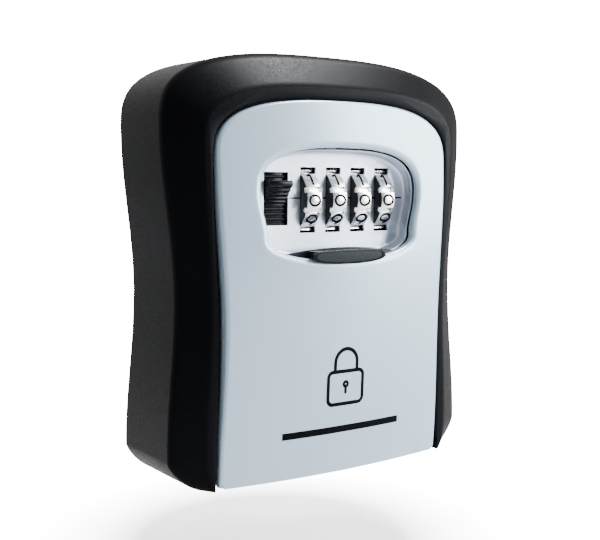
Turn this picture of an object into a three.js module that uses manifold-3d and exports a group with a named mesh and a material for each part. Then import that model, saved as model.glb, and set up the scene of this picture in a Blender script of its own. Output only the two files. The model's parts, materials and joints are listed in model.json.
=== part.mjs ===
// A wall-mounted key lock box: a waisted case with a door hinged along its bottom edge. Behind the
// door's window are four number wheels, a thumb slide that pulls the latch, and a weather shutter.
//
// Lengths are in millimetres. The origin is the centre of the flat back, which goes against the wall.
// +Z is up, and the door faces -Y, so a piece's front is the end with the lower y.
import * as THREE from "three";
import { mergeVertices } from "three/addons/utils/BufferGeometryUtils.js";
import Module from "manifold-3d";

const wasm = await Module();
wasm.setup();

// ---------------------------------------------------------------- driving dimensions

const GAP = 0.3; // between pieces that rest on each other
const caseHeight = 120;
const topZ = caseHeight / 2;
const floorZ = -caseHeight / 2;
const wall = 3;
const sideFront = { y: -26.2, lean: 0.02 }; // where the side walls end and the wide bevel starts
const rimY = -31.7; // front of the case's rim

const doorBottomZ = floorZ + 0.4;
const doorEndY = -31.6; // front of the door at its four corners, flush with the rim
const doorBow = { rise: 2.05, middleZ: -6, halfHeight: 53.5 }; // the long edges bow out by the rise
const doorCrown = 3.4; // how far the door's middle stands out of its long edges
const doorHalfWidth = 40;
const doorGap = 0.5;
const seatY = -30.3; // back of the door's edge, which seats on the case's ledge
const ledgeInset = 1.2; // the ledge reaches this far under the door's edge
const skin = 1.9;
const thinSkin = 1.25; // where the shutter slides behind it

const [pinStart, pinEnd] = [31, 43.3];
const hinge = { y: -26, z: floorZ + wall, barrel: 2.6, knuckle: 3, pin: 1.2, halfLength: 38 };

const wheel = { radius: 10, width: 4.95, pitch: 9, firstX: -8.25, y: -22, z: 18.8, count: 4 };
const digits = 10;
const shaftRadius = 1.5;
const cam = { radius: 5.1, start: 3, width: 2.2, gateFloor: 2.9, hub: 2.2 };

const bezelFrontY = -31.2;
const bezelFloorY = -28.4;
const bezelBackY = -27.5;
const plateFrontY = -30; // the lock housing's flange
const plateBackY = -28.6;
const housingBackY = -11.9;
const coverFrontY = housingBackY + GAP;
const coverBackY = coverFrontY + 1.4;
const box = { halfWidth: 31.6, bottomZ: -2.6, topZ: 39.6, wall: 1.6 }; // inside of the lock housing

const latch = { frontY: -25.8, backY: -24.6, left: -24.4, stripRight: -14, barZ: 34.2, barTopZ: 37.2 };
const tongue = { halfWidth: 9, topZ: 45.2 };
const buttonX = -19.2;
const buttonSlot = { left: -23.3, right: -15.1, bottomZ: 11.8, topZ: 26.7 };
const spring = { bottomZ: 5.2, topZ: 13.7, y: -24, radius: 1.25, wire: 0.28, turns: 5 };

const shutter = { halfWidth: 29.5, bottomZ: -27.3, apexZ: 5.5, archDrop: 3.4, front: 1.5, back: 2.3 };

// ---------------------------------------------------------------- colours

const looks = {
  case: { color: 0x1c1c1f, roughness: 0.6, metalness: 0.1 },
  door: { color: 0xc3cdd2, roughness: 0.4, metalness: 0.3 },
  chrome: { color: 0xd5d9de, roughness: 0.12, metalness: 1 },
  steel: { color: 0x9a9ea3, roughness: 0.35, metalness: 1 },
  brass: { color: 0xb08d4a, roughness: 0.35, metalness: 1 },
  button: { color: 0x15171d, roughness: 0.3, metalness: 0 },
  housing: { color: 0x2b2d31, roughness: 0.7, metalness: 0 },
  shutter: { color: 0x3f4a55, roughness: 0.5, metalness: 0 },
  inlay: { color: 0x59636a, roughness: 0.5, metalness: 0 },
};

// ---------------------------------------------------------------- solids and booleans

function solidOf(geometry) {
  const bare = new THREE.BufferGeometry();
  const source = geometry.index ? geometry.toNonIndexed() : geometry;
  bare.setAttribute("position", source.getAttribute("position"));
  const merged = mergeVertices(bare, 1e-4);
  return new wasm.Manifold(
    new wasm.Mesh({
      numProp: 3,
      vertProperties: merged.getAttribute("position").array,
      triVerts: new Uint32Array(merged.index.array),
    }),
  );
}

function geometryOf(solid) {
  const mesh = solid.getMesh();
  const geometry = new THREE.BufferGeometry();
  geometry.setAttribute("position", new THREE.BufferAttribute(new Float32Array(mesh.vertProperties), 3));
  geometry.setIndex(new THREE.BufferAttribute(new Uint32Array(mesh.triVerts), 1));
  return geometry;
}

const cut = (body, ...tools) =>
  geometryOf(tools.reduce((left, tool) => left.subtract(solidOf(tool)), solidOf(body)));
const join = (body, ...others) =>
  geometryOf(others.reduce((whole, other) => whole.add(solidOf(other)), solidOf(body)));
const common = (one, other) => geometryOf(solidOf(one).intersect(solidOf(other)));

// ---------------------------------------------------------------- basic shapes

// A span in x on one side of the middle: side is -1 on the left and 1 on the right.
const between = (side, inner, outer) => (side < 0 ? [-outer, -inner] : [inner, outer]);

function block([x0, x1], [y0, y1], [z0, z1]) {
  const geometry = new THREE.BoxGeometry(x1 - x0, y1 - y0, z1 - z0);
  return geometry.translate((x0 + x1) / 2, (y0 + y1) / 2, (z0 + z1) / 2);
}

function rodX(radius, [x0, x1], y, z, sides = 20) {
  const geometry = new THREE.CylinderGeometry(radius, radius, x1 - x0, sides);
  return geometry.rotateZ(Math.PI / 2).translate((x0 + x1) / 2, y, z);
}

function rodY(radius, x, [y0, y1], z, sides = 16) {
  const geometry = new THREE.CylinderGeometry(radius, radius, y1 - y0, sides);
  return geometry.translate(x, (y0 + y1) / 2, z);
}

function rodZ(radius, x, y, [z0, z1], sides = 12) {
  const geometry = new THREE.CylinderGeometry(radius, radius, z1 - z0, sides);
  return geometry.rotateX(Math.PI / 2).translate(x, y, (z0 + z1) / 2);
}

const extrude = (points, depth) =>
  new THREE.ExtrudeGeometry(new THREE.Shape(points), { depth, bevelEnabled: false });

// An outline in x and y, from z0 up to z1.
const prismZ = (points, [z0, z1]) => extrude(points, z1 - z0).translate(0, 0, z0);

// An outline in x and z, from its front at y0 to its back at y1.
const prismY = (points, [y0, y1]) => extrude(points, y1 - y0).rotateX(Math.PI / 2).translate(0, y1, 0);

// An outline of [y, z] pairs, from x0 to x1.
function prismX(pairs, [x0, x1]) {
  const points = pairs.map(([y, z]) => new THREE.Vector2(-z, y));
  return extrude(points, x1 - x0).rotateY(Math.PI / 2).translate(x0, 0, 0);
}

// A closed skin through rings of equal length. The rings run from back to front, and each goes
// anticlockwise as seen from the front.
function loft(rings) {
  const count = rings[0].length;
  const positions = rings.flat().flatMap((p) => [p.x, p.y, p.z]);
  const faces = [];
  for (let ring = 0; ring + 1 < rings.length; ring++) {
    for (let i = 0; i < count; i++) {
      const here = ring * count + i;
      const next = ring * count + ((i + 1) % count);
      faces.push(here, next, next + count, here, next + count, here + count);
    }
  }
  const flat = rings[0].map((p) => new THREE.Vector2(p.x, p.z));
  const last = (rings.length - 1) * count;
  for (const [a, b, c] of THREE.ShapeUtils.triangulateShape(flat, [])) {
    faces.push(c, b, a, last + a, last + b, last + c);
  }
  const geometry = new THREE.BufferGeometry();
  geometry.setAttribute("position", new THREE.Float32BufferAttribute(positions, 3));
  geometry.setIndex(faces);
  return geometry;
}

// The outline's points at a depth y, which is a number or a function of x and z.
const ringAt = (points, y) =>
  points.map((p) => new THREE.Vector3(p.x, typeof y === "function" ? y(p.x, p.y) : y, p.y));

const mixRings = (one, other, share) => one.map((p, i) => p.clone().lerp(other[i], share));

// ---------------------------------------------------------------- outlines

const ease = (t) => (1 - Math.cos(Math.PI * t)) / 2;

// A symmetric outline: a dome over the shoulders, sides that ease through the waist, and a foot that
// rounds into the floor. It runs anticlockwise as seen from the front.
function outline({ shoulder, top, dome, waist, foot, floor, corner, steps = 12 }) {
  const right = [];
  for (let i = 0; i < steps / 2; i++) {
    const t = (Math.PI / 2) * (1 - i / (steps / 2));
    const x = floor.x + (foot.x - floor.x) * Math.cos(t) ** (2 / corner);
    right.push([x, foot.z + (floor.z - foot.z) * Math.sin(t) ** (2 / corner)]);
  }
  const stops = waist ? [foot, waist, shoulder] : [foot, shoulder];
  for (let stop = 0; stop + 1 < stops.length; stop++) {
    const [a, b] = [stops[stop], stops[stop + 1]];
    for (let i = 0; i < steps / 2; i++) {
      const t = i / (steps / 2);
      right.push([a.x + (b.x - a.x) * ease(t), a.z + (b.z - a.z) * t]);
    }
  }
  for (let i = 0; i < steps; i++) {
    const t = (Math.PI / 2) * (i / steps);
    const x = shoulder.x * Math.cos(t) ** (2 / dome);
    right.push([x, shoulder.z + (top - shoulder.z) * Math.sin(t) ** (2 / dome)]);
  }
  const left = right.map(([x, z]) => [-x, z]).reverse();
  if (floor.x === 0) left.pop();
  return [...right, [0, top], ...left].map(([x, z]) => new THREE.Vector2(x, z));
}

// The case as it stands on the wall, less a wall thickness all round.
const caseOutline = (inset = 0) =>
  outline({
    shoulder: { x: 53 - inset, z: 39.2 },
    top: topZ - inset,
    dome: 2.83,
    waist: { x: 49.3 - inset, z: -7.2 },
    foot: { x: 52 - inset, z: -51.6 },
    floor: { x: 43.2 - inset, z: floorZ + inset },
    corner: 1.4,
  });

// The front edge of the case's rim, where the bevel ends.
const rimOutline = () =>
  outline({
    shoulder: { x: 44, z: 34 },
    top: 50.7,
    dome: 2.9,
    waist: { x: 41.8, z: -12 },
    foot: { x: 43.2, z: -50 },
    floor: { x: 40.6, z: floorZ },
    corner: 2,
  });

// The door's edge, grown or shrunk by an offset. The bottom edge goes down to bottomZ.
const doorOutline = (offset = 0, bottomZ = doorBottomZ) =>
  outline({
    shoulder: { x: doorHalfWidth + 0.5 + offset, z: 30.5 },
    top: 46.7 + offset,
    dome: 2.79,
    waist: { x: 38.2 + offset, z: -17.4 },
    foot: { x: doorHalfWidth - 0.7 + offset, z: bottomZ + 0.5 },
    floor: { x: doorHalfWidth - 1.2 + offset, z: bottomZ },
    corner: 2,
  });

const windowTopZ = 34.1;

// The dial window in the door's front face, grown or shrunk by an offset.
const windowOutline = (offset = 0) =>
  outline({
    shoulder: { x: 28.5 + offset, z: 21 },
    top: windowTopZ + offset,
    dome: 2.7,
    foot: { x: 26.4 + offset, z: 8.5 },
    floor: { x: 0, z: 1.6 - offset },
    corner: 2.2,
  });

// ---------------------------------------------------------------- the crowned front

// The door's front is crowned across and bowed along its height.
function frontY(x, z) {
  const { rise, middleZ, halfHeight } = doorBow;
  const edgeY = doorEndY - rise * (1 - ((z - middleZ) / halfHeight) ** 2);
  return edgeY - doorCrown * (1 - (x / doorHalfWidth) ** 2);
}

// The layer of the door between two depths behind its front.
function doorDepth(frontDepth, backDepth) {
  const layer = new THREE.BoxGeometry(2 * doorHalfWidth + 4, 1, caseHeight + 2, 12, 1, 10);
  const corners = layer.getAttribute("position");
  for (let i = 0; i < corners.count; i++) {
    const depth = corners.getY(i) < 0 ? frontDepth : backDepth;
    corners.setY(i, frontY(corners.getX(i), corners.getZ(i)) + depth);
  }
  return layer;
}

// ---------------------------------------------------------------- case

const wallHole = { radius: 2.6, sinkRadius: 4.6, sinkDepth: 1 };
const wallHoles = [-1, 1].flatMap((side) => [
  { x: side * 28, z: 32 },
  { x: side * 28, z: -42 },
]);
const strike = {
  halfWidth: 16,
  bottomZ: 45.9,
  topZ: 50.2,
  frontY: -28.6,
  backY: -26.1,
  screwX: 14,
  screwZ: 48.3,
};
const screwShank = 0.9;
const pilot = 1.1;

function caseShell() {
  const side = ringAt(caseOutline(), 0);
  const sideEnd = (x, z) => sideFront.y + sideFront.lean * z;
  const bevelRun = 1.5; // the side wall starts to round over this far behind its end
  const edge = ringAt(caseOutline(), sideEnd);
  const rim = ringAt(rimOutline(), rimY);
  const softEdge = 0.12;
  const outside = loft([
    side,
    edge.map((p) => p.clone().setY(p.y + bevelRun)),
    mixRings(edge, rim, softEdge),
    mixRings(edge, rim, 1 - softEdge / 2).map((p) => p.setY(rimY + GAP)),
    mixRings(edge, rim, 1).map((p) => p.setY(rimY - 0.1)),
  ]);
  const lipBackY = -28.9;
  const bevelShare = 0.55; // how far along the bevel the lip's back lies
  const lip = mixRings(edge, rim, bevelShare).map((p) => p.setY(lipBackY));
  const [lipX, lipZ] = [0.935, 0.944]; // leaves a wall's thickness between the lip and the bevel
  const lipInside = lip.map((p) => new THREE.Vector3(p.x * lipX, p.y, Math.max(p.z * lipZ, floorZ + wall)));
  const inside = loft([
    ringAt(caseOutline(wall), -wall),
    ringAt(caseOutline(wall), (x, z) => sideEnd(x, z) + bevelRun),
    lipInside,
  ]);
  const through = floorZ - 1;
  const opening = prismY(doorOutline(doorGap, through), [rimY - 1, plateFrontY]);
  const ledge = prismY(doorOutline(-ledgeInset, through), [plateFrontY - 0.5, lipBackY + 1]);
  const barrelBackY = hinge.y + hinge.barrel + 1;
  const barrelRoom = block(
    [-doorHalfWidth - doorGap, doorHalfWidth + doorGap],
    [rimY - 1, barrelBackY],
    [through, hinge.z + 1],
  );
  const webBackY = barrelBackY + 0.4; // a knuckle's web runs into the case's floor
  const holes = wallHoles.flatMap(({ x, z }) => [
    rodY(wallHole.radius, x, [-wall - 1, 1], z),
    rodY(wallHole.sinkRadius, x, [-wall - 1, -wall + wallHole.sinkDepth], z),
  ]);
  const shell = cut(outside, inside, opening, ledge, barrelRoom, ...holes);
  const knuckles = [-1, 1].flatMap((end) => {
    const span = between(end, hinge.halfLength + doorGap, caseOutline()[0].x + wall);
    return [
      rodX(hinge.knuckle, span, hinge.y, hinge.z),
      block(span, [hinge.y, webBackY], [floorZ, hinge.z + hinge.knuckle]),
    ];
  });
  const pinHoles = [-1, 1].map((end) =>
    rodX(hinge.pin + 0.15, between(end, hinge.halfLength - 1, pinEnd + GAP), hinge.y, hinge.z),
  );
  const screwHoles = [-1, 1].map((end) => rodY(pilot, end * strike.screwX, [-30.8, -28], strike.screwZ, 10));
  const hinged = knuckles.map((knuckle) => common(knuckle, outside));
  return cut(join(shell, ...hinged), ...pinHoles, ...screwHoles);
}

const hingePin = (end) => rodX(hinge.pin, between(end, pinStart, pinEnd), hinge.y, hinge.z);

function strikePlate() {
  const { halfWidth, bottomZ, topZ: top, frontY, backY, screwX, screwZ } = strike;
  const body = block([-halfWidth, halfWidth], [frontY, backY], [bottomZ, top]);
  return cut(body, ...[-1, 1].map((end) => rodY(pilot, end * screwX, [frontY - 1, backY + 1], screwZ, 10)));
}

// A screw whose head faces +Y, with a cross in the head.
function screw(x, z, { headFrontY, headRadius, headHeight, tipY }) {
  const head = rodY(headRadius, x, [headFrontY, headFrontY + headHeight], z);
  const shank = rodY(screwShank, x, [tipY, headFrontY + 0.2], z, 8);
  const top = [headFrontY + headHeight / 2, headFrontY + headHeight + 1];
  const arm = headRadius * 0.65;
  const slot = 0.28;
  return cut(
    join(head, shank),
    block([x - arm, x + arm], top, [z - slot, z + slot]),
    block([x - slot, x + slot], top, [z - arm, z + arm]),
  );
}

const strikeScrew = (end) =>
  screw(end * strike.screwX, strike.screwZ, {
    headFrontY: strike.backY + GAP,
    headRadius: 1.7,
    headHeight: 1,
    tipY: -30.6,
  });

// ---------------------------------------------------------------- door

const doorScrews = [-1, 1].flatMap((side) => [
  { x: side * 35.6, z: 24 },
  { x: side * 33, z: -46 },
]);

function doorCover() {
  const through = [-40, seatY];
  const body = common(prismY(doorOutline(), through), doorDepth(0, 12));
  const edge = 2.2;
  const hollow = common(
    prismY(doorOutline(-edge, doorBottomZ + edge), [-40, seatY + 1]),
    doorDepth(skin, 12),
  );
  const channel = common(
    block(
      [-shutter.halfWidth - 0.4, shutter.halfWidth + 0.4],
      [-40, seatY + 1],
      [shutter.bottomZ - 0.7, 35.2],
    ),
    doorDepth(thinSkin, 12),
  );
  const chamfer = 0.5;
  const dialWindow = loft([
    ringAt(windowOutline(-chamfer), seatY + 1),
    ringAt(windowOutline(-chamfer), (x, z) => frontY(x, z) + chamfer),
    ringAt(windowOutline(0), frontY),
    ringAt(windowOutline(0), -40),
  ]);
  const tray = cut(body, hollow, channel);
  const bosses = doorScrews.map(({ x, z }) => common(rodY(2.6, x, through, z), doorDepth(0.5, 12)));
  const bottom = block(
    [-hinge.halfLength, hinge.halfLength],
    [seatY - 0.5, hinge.y],
    [doorBottomZ, doorBottomZ + edge],
  );
  const barrel = rodX(hinge.barrel, [-hinge.halfLength, hinge.halfLength], hinge.y, hinge.z, 24);
  const pilots = doorScrews.map(({ x, z }) => rodY(pilot, x, [seatY - 2, seatY + 1], z, 10));
  const pinHoles = [-1, 1].map((end) =>
    rodX(hinge.pin + 0.2, between(end, pinStart - doorGap, hinge.halfLength + 1), hinge.y, hinge.z),
  );
  return cut(join(tray, ...bosses, bottom, barrel), dialWindow, ...pilots, ...pinHoles);
}

const wheelX = (index) => wheel.firstX + wheel.pitch * index;
const wheelIndexes = Array.from({ length: wheel.count }, (_, i) => i);

function dialBezel() {
  const rim = prismY(windowOutline(2.2), [bezelFrontY, bezelBackY]);
  const flange = prismY(windowOutline(4), [bezelFrontY, plateFrontY - 0.4]);
  const dish = loft([
    ringAt(windowOutline(-2.4), bezelFloorY),
    ringAt(windowOutline(-1.2), bezelFloorY - 0.5),
    ringAt(windowOutline(-0.3), bezelFloorY - 1.6),
    ringAt(windowOutline(0.3), bezelFrontY - 1),
  ]);
  const through = [bezelFloorY - 1, bezelBackY + 1];
  const slotHalf = 2.65;
  const wheelSlots = wheelIndexes.map((i) =>
    block([wheelX(i) - slotHalf, wheelX(i) + slotHalf], through, [9.5, 28.2]),
  );
  const slot = block([buttonSlot.left, buttonSlot.right], through, [buttonSlot.bottomZ, buttonSlot.topZ]);
  const indexLine = block([-13, 25], [bezelFloorY - 1, bezelFloorY + 0.2], [19.25, 19.6]);
  return cut(join(rim, flange), dish, slot, indexLine, ...wheelSlots);
}

const coverScrews = [-1, 1].flatMap((side) => [
  { x: side * 29.3, z: box.bottomZ + 2.3 },
  { x: side * 28.2, z: box.topZ - 2 },
]);
const ribs = [
  [-13.2, -12],
  [25, 26.5],
];
const ribTopZ = 28.5;
const boxInset = -3.2; // from the door's edge, at the box's upper corners

const rail = { inner: 27, outer: 28.8, height: 1.5, heights: [-28, -3.5] }; // behind the lowered shutter

function lockHousing() {
  const flange = prismY(doorOutline(-2, -54), [plateFrontY, plateBackY]);
  const outerX = box.halfWidth + box.wall;
  const heights = [box.bottomZ - box.wall, box.topZ + box.wall];
  const shell = common(
    block([-outerX, outerX], [plateBackY - 0.2, housingBackY], heights),
    prismY(doorOutline(boxInset), [-40, 0]),
  );
  const room = common(
    block([-box.halfWidth, box.halfWidth], [plateBackY, housingBackY + 1], [box.bottomZ, box.topZ]),
    prismY(doorOutline(boxInset - box.wall), [-40, 0]),
  );
  const bezelRoom = prismY(windowOutline(2.5), [plateFrontY - 1, plateBackY + 1]);
  const tongueSlot = block(
    [-tongue.halfWidth - 0.5, tongue.halfWidth + 0.5],
    [latch.frontY - 0.4, latch.backY + 0.4],
    [box.topZ - 1, box.topZ + box.wall + 1],
  );
  const shaftRibs = ribs.map((span) =>
    block(span, [bezelBackY + GAP, housingBackY], [box.bottomZ - 1, ribTopZ]),
  );
  const springShelf = block([-12.1, 25.1], [-25.5, -18.5], [4.6, 6.6]);
  const springSeat = block(
    [buttonX - 2.6, buttonX + 2.6],
    [-25.7, -22.2],
    [box.bottomZ - 1, spring.bottomZ - 0.2],
  );
  const lugs = coverScrews.map(({ x, z }) => rodY(2.4, x, [bezelBackY + GAP, housingBackY], z));
  const rails = [-1, 1].map((side) =>
    block(between(side, rail.inner, rail.outer), [plateFrontY - rail.height, plateBackY], rail.heights),
  );
  const screwHoles = doorScrews.map(({ x, z }) => rodY(1.3, x, [plateFrontY - 1, plateBackY + 1], z, 10));
  const pilots = coverScrews.map(({ x, z }) => rodY(pilot, x, [-18.5, housingBackY + 1], z, 10));
  const shaftHole = rodX(shaftRadius + 0.15, [-14, 27], wheel.y, wheel.z);
  const detentHole = rodZ(0.8, detentScrewX, wheel.y, [4, 7]);
  const hollow = cut(join(flange, shell), room, bezelRoom, tongueSlot);
  return cut(
    join(hollow, ...shaftRibs, springShelf, springSeat, ...lugs, ...rails),
    ...screwHoles,
    ...pilots,
    shaftHole,
    detentHole,
  );
}

const doorScrew = ({ x, z }) =>
  screw(x, z, { headFrontY: plateBackY + GAP, headRadius: 2.1, headHeight: 1.2, tipY: seatY - 1.8 });

const sliderSlot = { left: -25.5, right: -17.5, bottomZ: 26.1, topZ: 28.9 };

function lockCover() {
  const halfWidth = box.halfWidth + box.wall - 0.2;
  const heights = [box.bottomZ - box.wall + 0.2, box.topZ + box.wall - 0.2];
  const through = [coverFrontY - 1, coverBackY + 1];
  const lid = common(
    block([-halfWidth, halfWidth], [coverFrontY, coverBackY], heights),
    prismY(doorOutline(boxInset - 0.2), [-40, 0]),
  );
  return cut(
    lid,
    block([sliderSlot.left, sliderSlot.right], through, [sliderSlot.bottomZ, sliderSlot.topZ]),
    ...coverScrews.map(({ x, z }) => rodY(pilot + 0.2, x, through, z, 10)),
  );
}

const coverScrew = ({ x, z }) =>
  screw(x, z, { headFrontY: coverBackY + GAP, headRadius: 1.9, headHeight: 1.1, tipY: -17.5 });

// ---------------------------------------------------------------- dial

const dialShaft = () => rodX(shaftRadius, [-13.9, 27.8], wheel.y, wheel.z);

function shaftClip() {
  const span = [26.8, 27.4];
  const ring = rodX(2.9, span, wheel.y, wheel.z);
  const bore = rodX(shaftRadius + 0.1, [span[0] - 1, span[1] + 1], wheel.y, wheel.z);
  const mouth = block([span[0] - 1, span[1] + 1], [wheel.y - 1, wheel.y + 1], [wheel.z - 5, wheel.z]);
  return cut(ring, bore, mouth);
}

// The wheel's edge: ten pads with sunk gaps between them. A pad faces the front.
function numberWheel(index) {
  const step = (2 * Math.PI) / digits;
  const padHalfAngle = 0.355 * step;
  const gapHalfAngle = 0.11 * step;
  const gapRadius = wheel.radius - 1.2;
  const edge = [];
  for (let digit = 0; digit < digits; digit++) {
    const middle = Math.PI + digit * step;
    for (const share of [-1, 0, 1]) {
      edge.push([wheel.radius, middle + share * padHalfAngle]);
    }
    for (const share of [-1, 1]) {
      edge.push([gapRadius, middle + step / 2 + share * gapHalfAngle]);
    }
  }
  const pairs = edge.map(([r, a]) => [wheel.y + r * Math.cos(a), wheel.z + r * Math.sin(a)]);
  const x = wheelX(index);
  const half = wheel.width / 2;
  const disc = prismX(pairs, [x - half, x + half]);
  const hub = rodX(cam.hub, [x, x + cam.start + cam.width], wheel.y, wheel.z);
  const bore = rodX(shaftRadius + 0.1, [x - half - 1, x + 6], wheel.y, wheel.z);
  return cut(join(disc, hub), bore);
}

// A gate cam turns with its wheel. A fence tooth drops into its gate when the wheel shows its number.
// The slot a quarter turn on comes to the top between two numbers, where no wheel rests.
function gateCam(index) {
  const start = wheelX(index) + cam.start;
  const span = [start, start + cam.width];
  const through = [start - 1, start + cam.width + 1];
  const gateSpan = (middle) => [middle - 1.5, middle + 1.5];
  return cut(
    rodX(cam.radius, span, wheel.y, wheel.z, 30),
    rodX(cam.hub + 0.2, through, wheel.y, wheel.z),
    block(through, gateSpan(wheel.y), [wheel.z + cam.gateFloor, wheel.z + 9]),
    block(through, [wheel.y + cam.gateFloor, wheel.y + 9], gateSpan(wheel.z)),
  );
}

const detentScrewX = wheelX(1) + wheel.pitch / 2;

function detentSpring() {
  const leaf = block([-11.4, 24.4], [-25, -19], [6.9, 7.4]);
  const noses = wheelIndexes.map((i) => rodX(0.9, [wheelX(i) - 1.8, wheelX(i) + 1.8], wheel.y, 7.7, 12));
  return cut(join(leaf, ...noses), rodZ(0.9, detentScrewX, wheel.y, [6, 8]));
}

const detentScrew = () =>
  join(
    rodZ(1.5, detentScrewX, wheel.y, [7.6, 8.4], 16),
    rodZ(0.6, detentScrewX, wheel.y, [4.8, 7.8]),
  );

// ---------------------------------------------------------------- button and latch

const rivets = [27.6, 31.2];
const fenceRivets = [-1.5, 18.5];

function openButton() {
  const backing = block([buttonX - 5.2, buttonX + 5.2], [-27.2, -26.1], [9, 32.4]);
  const nose = prismX(
    [
      [-26.9, 17.4],
      [-28.5, 17.4],
      [-29.2, 19.2],
      [-30.7, 21.6],
      [-31.6, 22.6],
      [-31.7, 23.6],
      [-31.3, 24.4],
      [-26.9, 24.4],
    ],
    [buttonX - 3.7, buttonX + 3.7],
  );
  const span = [buttonX - 4.4, buttonX + 4.4];
  const lowGrooves = [10.4, 12, 13.6, 15.2, 25.4].map((z) => block(span, [-28, -26.7], [z, z + 0.8]));
  const noseGrooves = [18.3, 19.6, 20.9, 22.2, 23.4].map((z, i) =>
    rodX(0.35, span, -28.95 - 0.72 * i, z, 8),
  );
  const rivetHoles = rivets.map((z) => rodY(pilot, buttonX, [-26.8, -25], z, 10));
  return cut(join(backing, nose), ...lowGrooves, ...noseGrooves, ...rivetHoles);
}

function latchPlate() {
  const { left, stripRight, barZ, barTopZ } = latch;
  const right = 24.5;
  const bevel = 0.8;
  const points = [
    [left, 14],
    [stripRight, 14],
    [stripRight, barZ],
    [right, barZ],
    [right, barTopZ],
    [tongue.halfWidth, barTopZ],
    [tongue.halfWidth, tongue.topZ - bevel],
    [tongue.halfWidth - bevel, tongue.topZ],
    [bevel - tongue.halfWidth, tongue.topZ],
    [-tongue.halfWidth, tongue.topZ - bevel],
    [-tongue.halfWidth, barTopZ],
    [left, barTopZ],
  ].map(([x, z]) => new THREE.Vector2(x, z));
  const plate = prismY(points, [latch.frontY, latch.backY]);
  const foot = block([buttonX - 2, buttonX + 2], [latch.frontY, spring.y + 1.8], [14, 15.2]);
  const through = [latch.frontY - 1, latch.backY + 1];
  return cut(
    join(plate, foot),
    ...rivets.map((z) => rodY(pilot, buttonX, through, z, 10)),
    ...fenceRivets.map((x) => rodY(pilot, x, through, (barZ + barTopZ) / 2, 10)),
  );
}

function latchRivet(z) {
  const head = rodY(1.5, buttonX, [latch.backY + GAP, latch.backY + 0.9], z);
  return join(head, rodY(screwShank, buttonX, [-26.6, latch.backY + 0.4], z, 10));
}

function fenceComb() {
  const frontY = latch.backY + GAP;
  const bar = block([-6, 24.5], [frontY, wheel.y + 1.4], [latch.barZ, latch.barTopZ]);
  const teeth = wheelIndexes.map((i) => {
    const middle = wheelX(i) + cam.start + cam.width / 2;
    return block([middle - 0.9, middle + 0.9], [wheel.y - 1.2, wheel.y + 1.2], [26.9, latch.barZ + 1]);
  });
  const rivetZ = (latch.barZ + latch.barTopZ) / 2;
  const holes = fenceRivets.map((x) => rodY(pilot, x, [frontY - 1, frontY + 2.2], rivetZ, 10));
  return cut(join(bar, ...teeth), ...holes);
}

function fenceRivet(x) {
  const z = (latch.barZ + latch.barTopZ) / 2;
  const head = rodY(1.4, x, [latch.frontY - 0.8, latch.frontY - 0.2], z);
  return join(head, rodY(screwShank, x, [latch.frontY - 0.4, latch.backY + 2.3], z, 10));
}

function latchSpring() {
  const { bottomZ, topZ: top, y, radius, wire, turns } = spring;
  const rise = top - bottomZ - 2 * wire;
  class Helix extends THREE.Curve {
    getPoint(t) {
      const angle = 2 * Math.PI * turns * t;
      const z = bottomZ + wire + rise * t;
      return new THREE.Vector3(buttonX + radius * Math.cos(angle), y + radius * Math.sin(angle), z);
    }
  }
  const sides = 6;
  const section = Array.from({ length: sides }, (_, i) => {
    const a = (2 * Math.PI * i) / sides;
    return new THREE.Vector2(wire * Math.cos(a), wire * Math.sin(a));
  });
  return new THREE.ExtrudeGeometry(new THREE.Shape(section), { steps: turns * 10, extrudePath: new Helix() });
}

// ---------------------------------------------------------------- shutter

// The shutter slides straight up, so its depths are taken from the door's front at the window's top,
// where the door comes nearest to it.
function shutterLayer(frontDepth, backDepth, halfWidth, heights) {
  const steps = 12;
  const xs = Array.from({ length: steps + 1 }, (_, i) => halfWidth * ((2 * i) / steps - 1));
  const front = xs.map((x) => new THREE.Vector2(x, frontY(x, windowTopZ) + frontDepth));
  const back = xs.map((x) => new THREE.Vector2(x, frontY(x, windowTopZ) + backDepth)).reverse();
  return prismZ([...front, ...back], heights);
}

function shutterPlate() {
  const { halfWidth, bottomZ, apexZ, archDrop, front, back } = shutter;
  const steps = 12;
  const arch = Array.from({ length: steps + 1 }, (_, i) => {
    const share = 1 - (2 * i) / steps;
    return new THREE.Vector2(halfWidth * share, apexZ - archDrop * share ** 2);
  });
  const points = [new THREE.Vector2(-halfWidth, bottomZ), new THREE.Vector2(halfWidth, bottomZ), ...arch];
  return common(prismY(points, [-40, -28]), shutterLayer(front, back, halfWidth + 1, [-40, 20]));
}

const tab = { halfWidth: 13.4, bottomZ: 1, topZ: 5, backY: -37.3, frontY: -37.9 };
const inlay = { halfWidth: 11.3, bottomZ: 1.6, topZ: 4.4 };

// A flat oval with round ends, given by its half width and its lowest and highest z.
function oval(halfWidth, bottomZ, ovalTopZ) {
  const radius = (ovalTopZ - bottomZ) / 2;
  const middle = (ovalTopZ + bottomZ) / 2;
  const shape = new THREE.Path();
  shape.absarc(halfWidth - radius, middle, radius, -Math.PI / 2, Math.PI / 2);
  shape.absarc(radius - halfWidth, middle, radius, Math.PI / 2, (3 * Math.PI) / 2);
  return shape.getPoints(6).slice(0, -1);
}

function shutterTab() {
  const edge = 0.3;
  const lip = loft([
    ringAt(oval(tab.halfWidth, tab.bottomZ, tab.topZ), tab.backY),
    ringAt(oval(tab.halfWidth, tab.bottomZ, tab.topZ), tab.frontY + edge),
    ringAt(oval(tab.halfWidth - edge, tab.bottomZ + edge, tab.topZ - edge), tab.frontY),
  ]);
  const stem = common(
    block([-12.3, 12.3], [tab.backY - 0.1, -30], [3.3, 4.8]),
    shutterLayer(-3, shutter.front - GAP, 20, [0, 10]),
  );
  const room = 0.1;
  const recess = prismY(
    oval(inlay.halfWidth + room, inlay.bottomZ - room, inlay.topZ + room),
    [tab.frontY - 1, tab.frontY + 0.35],
  );
  return cut(join(lip, stem), recess);
}

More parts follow.
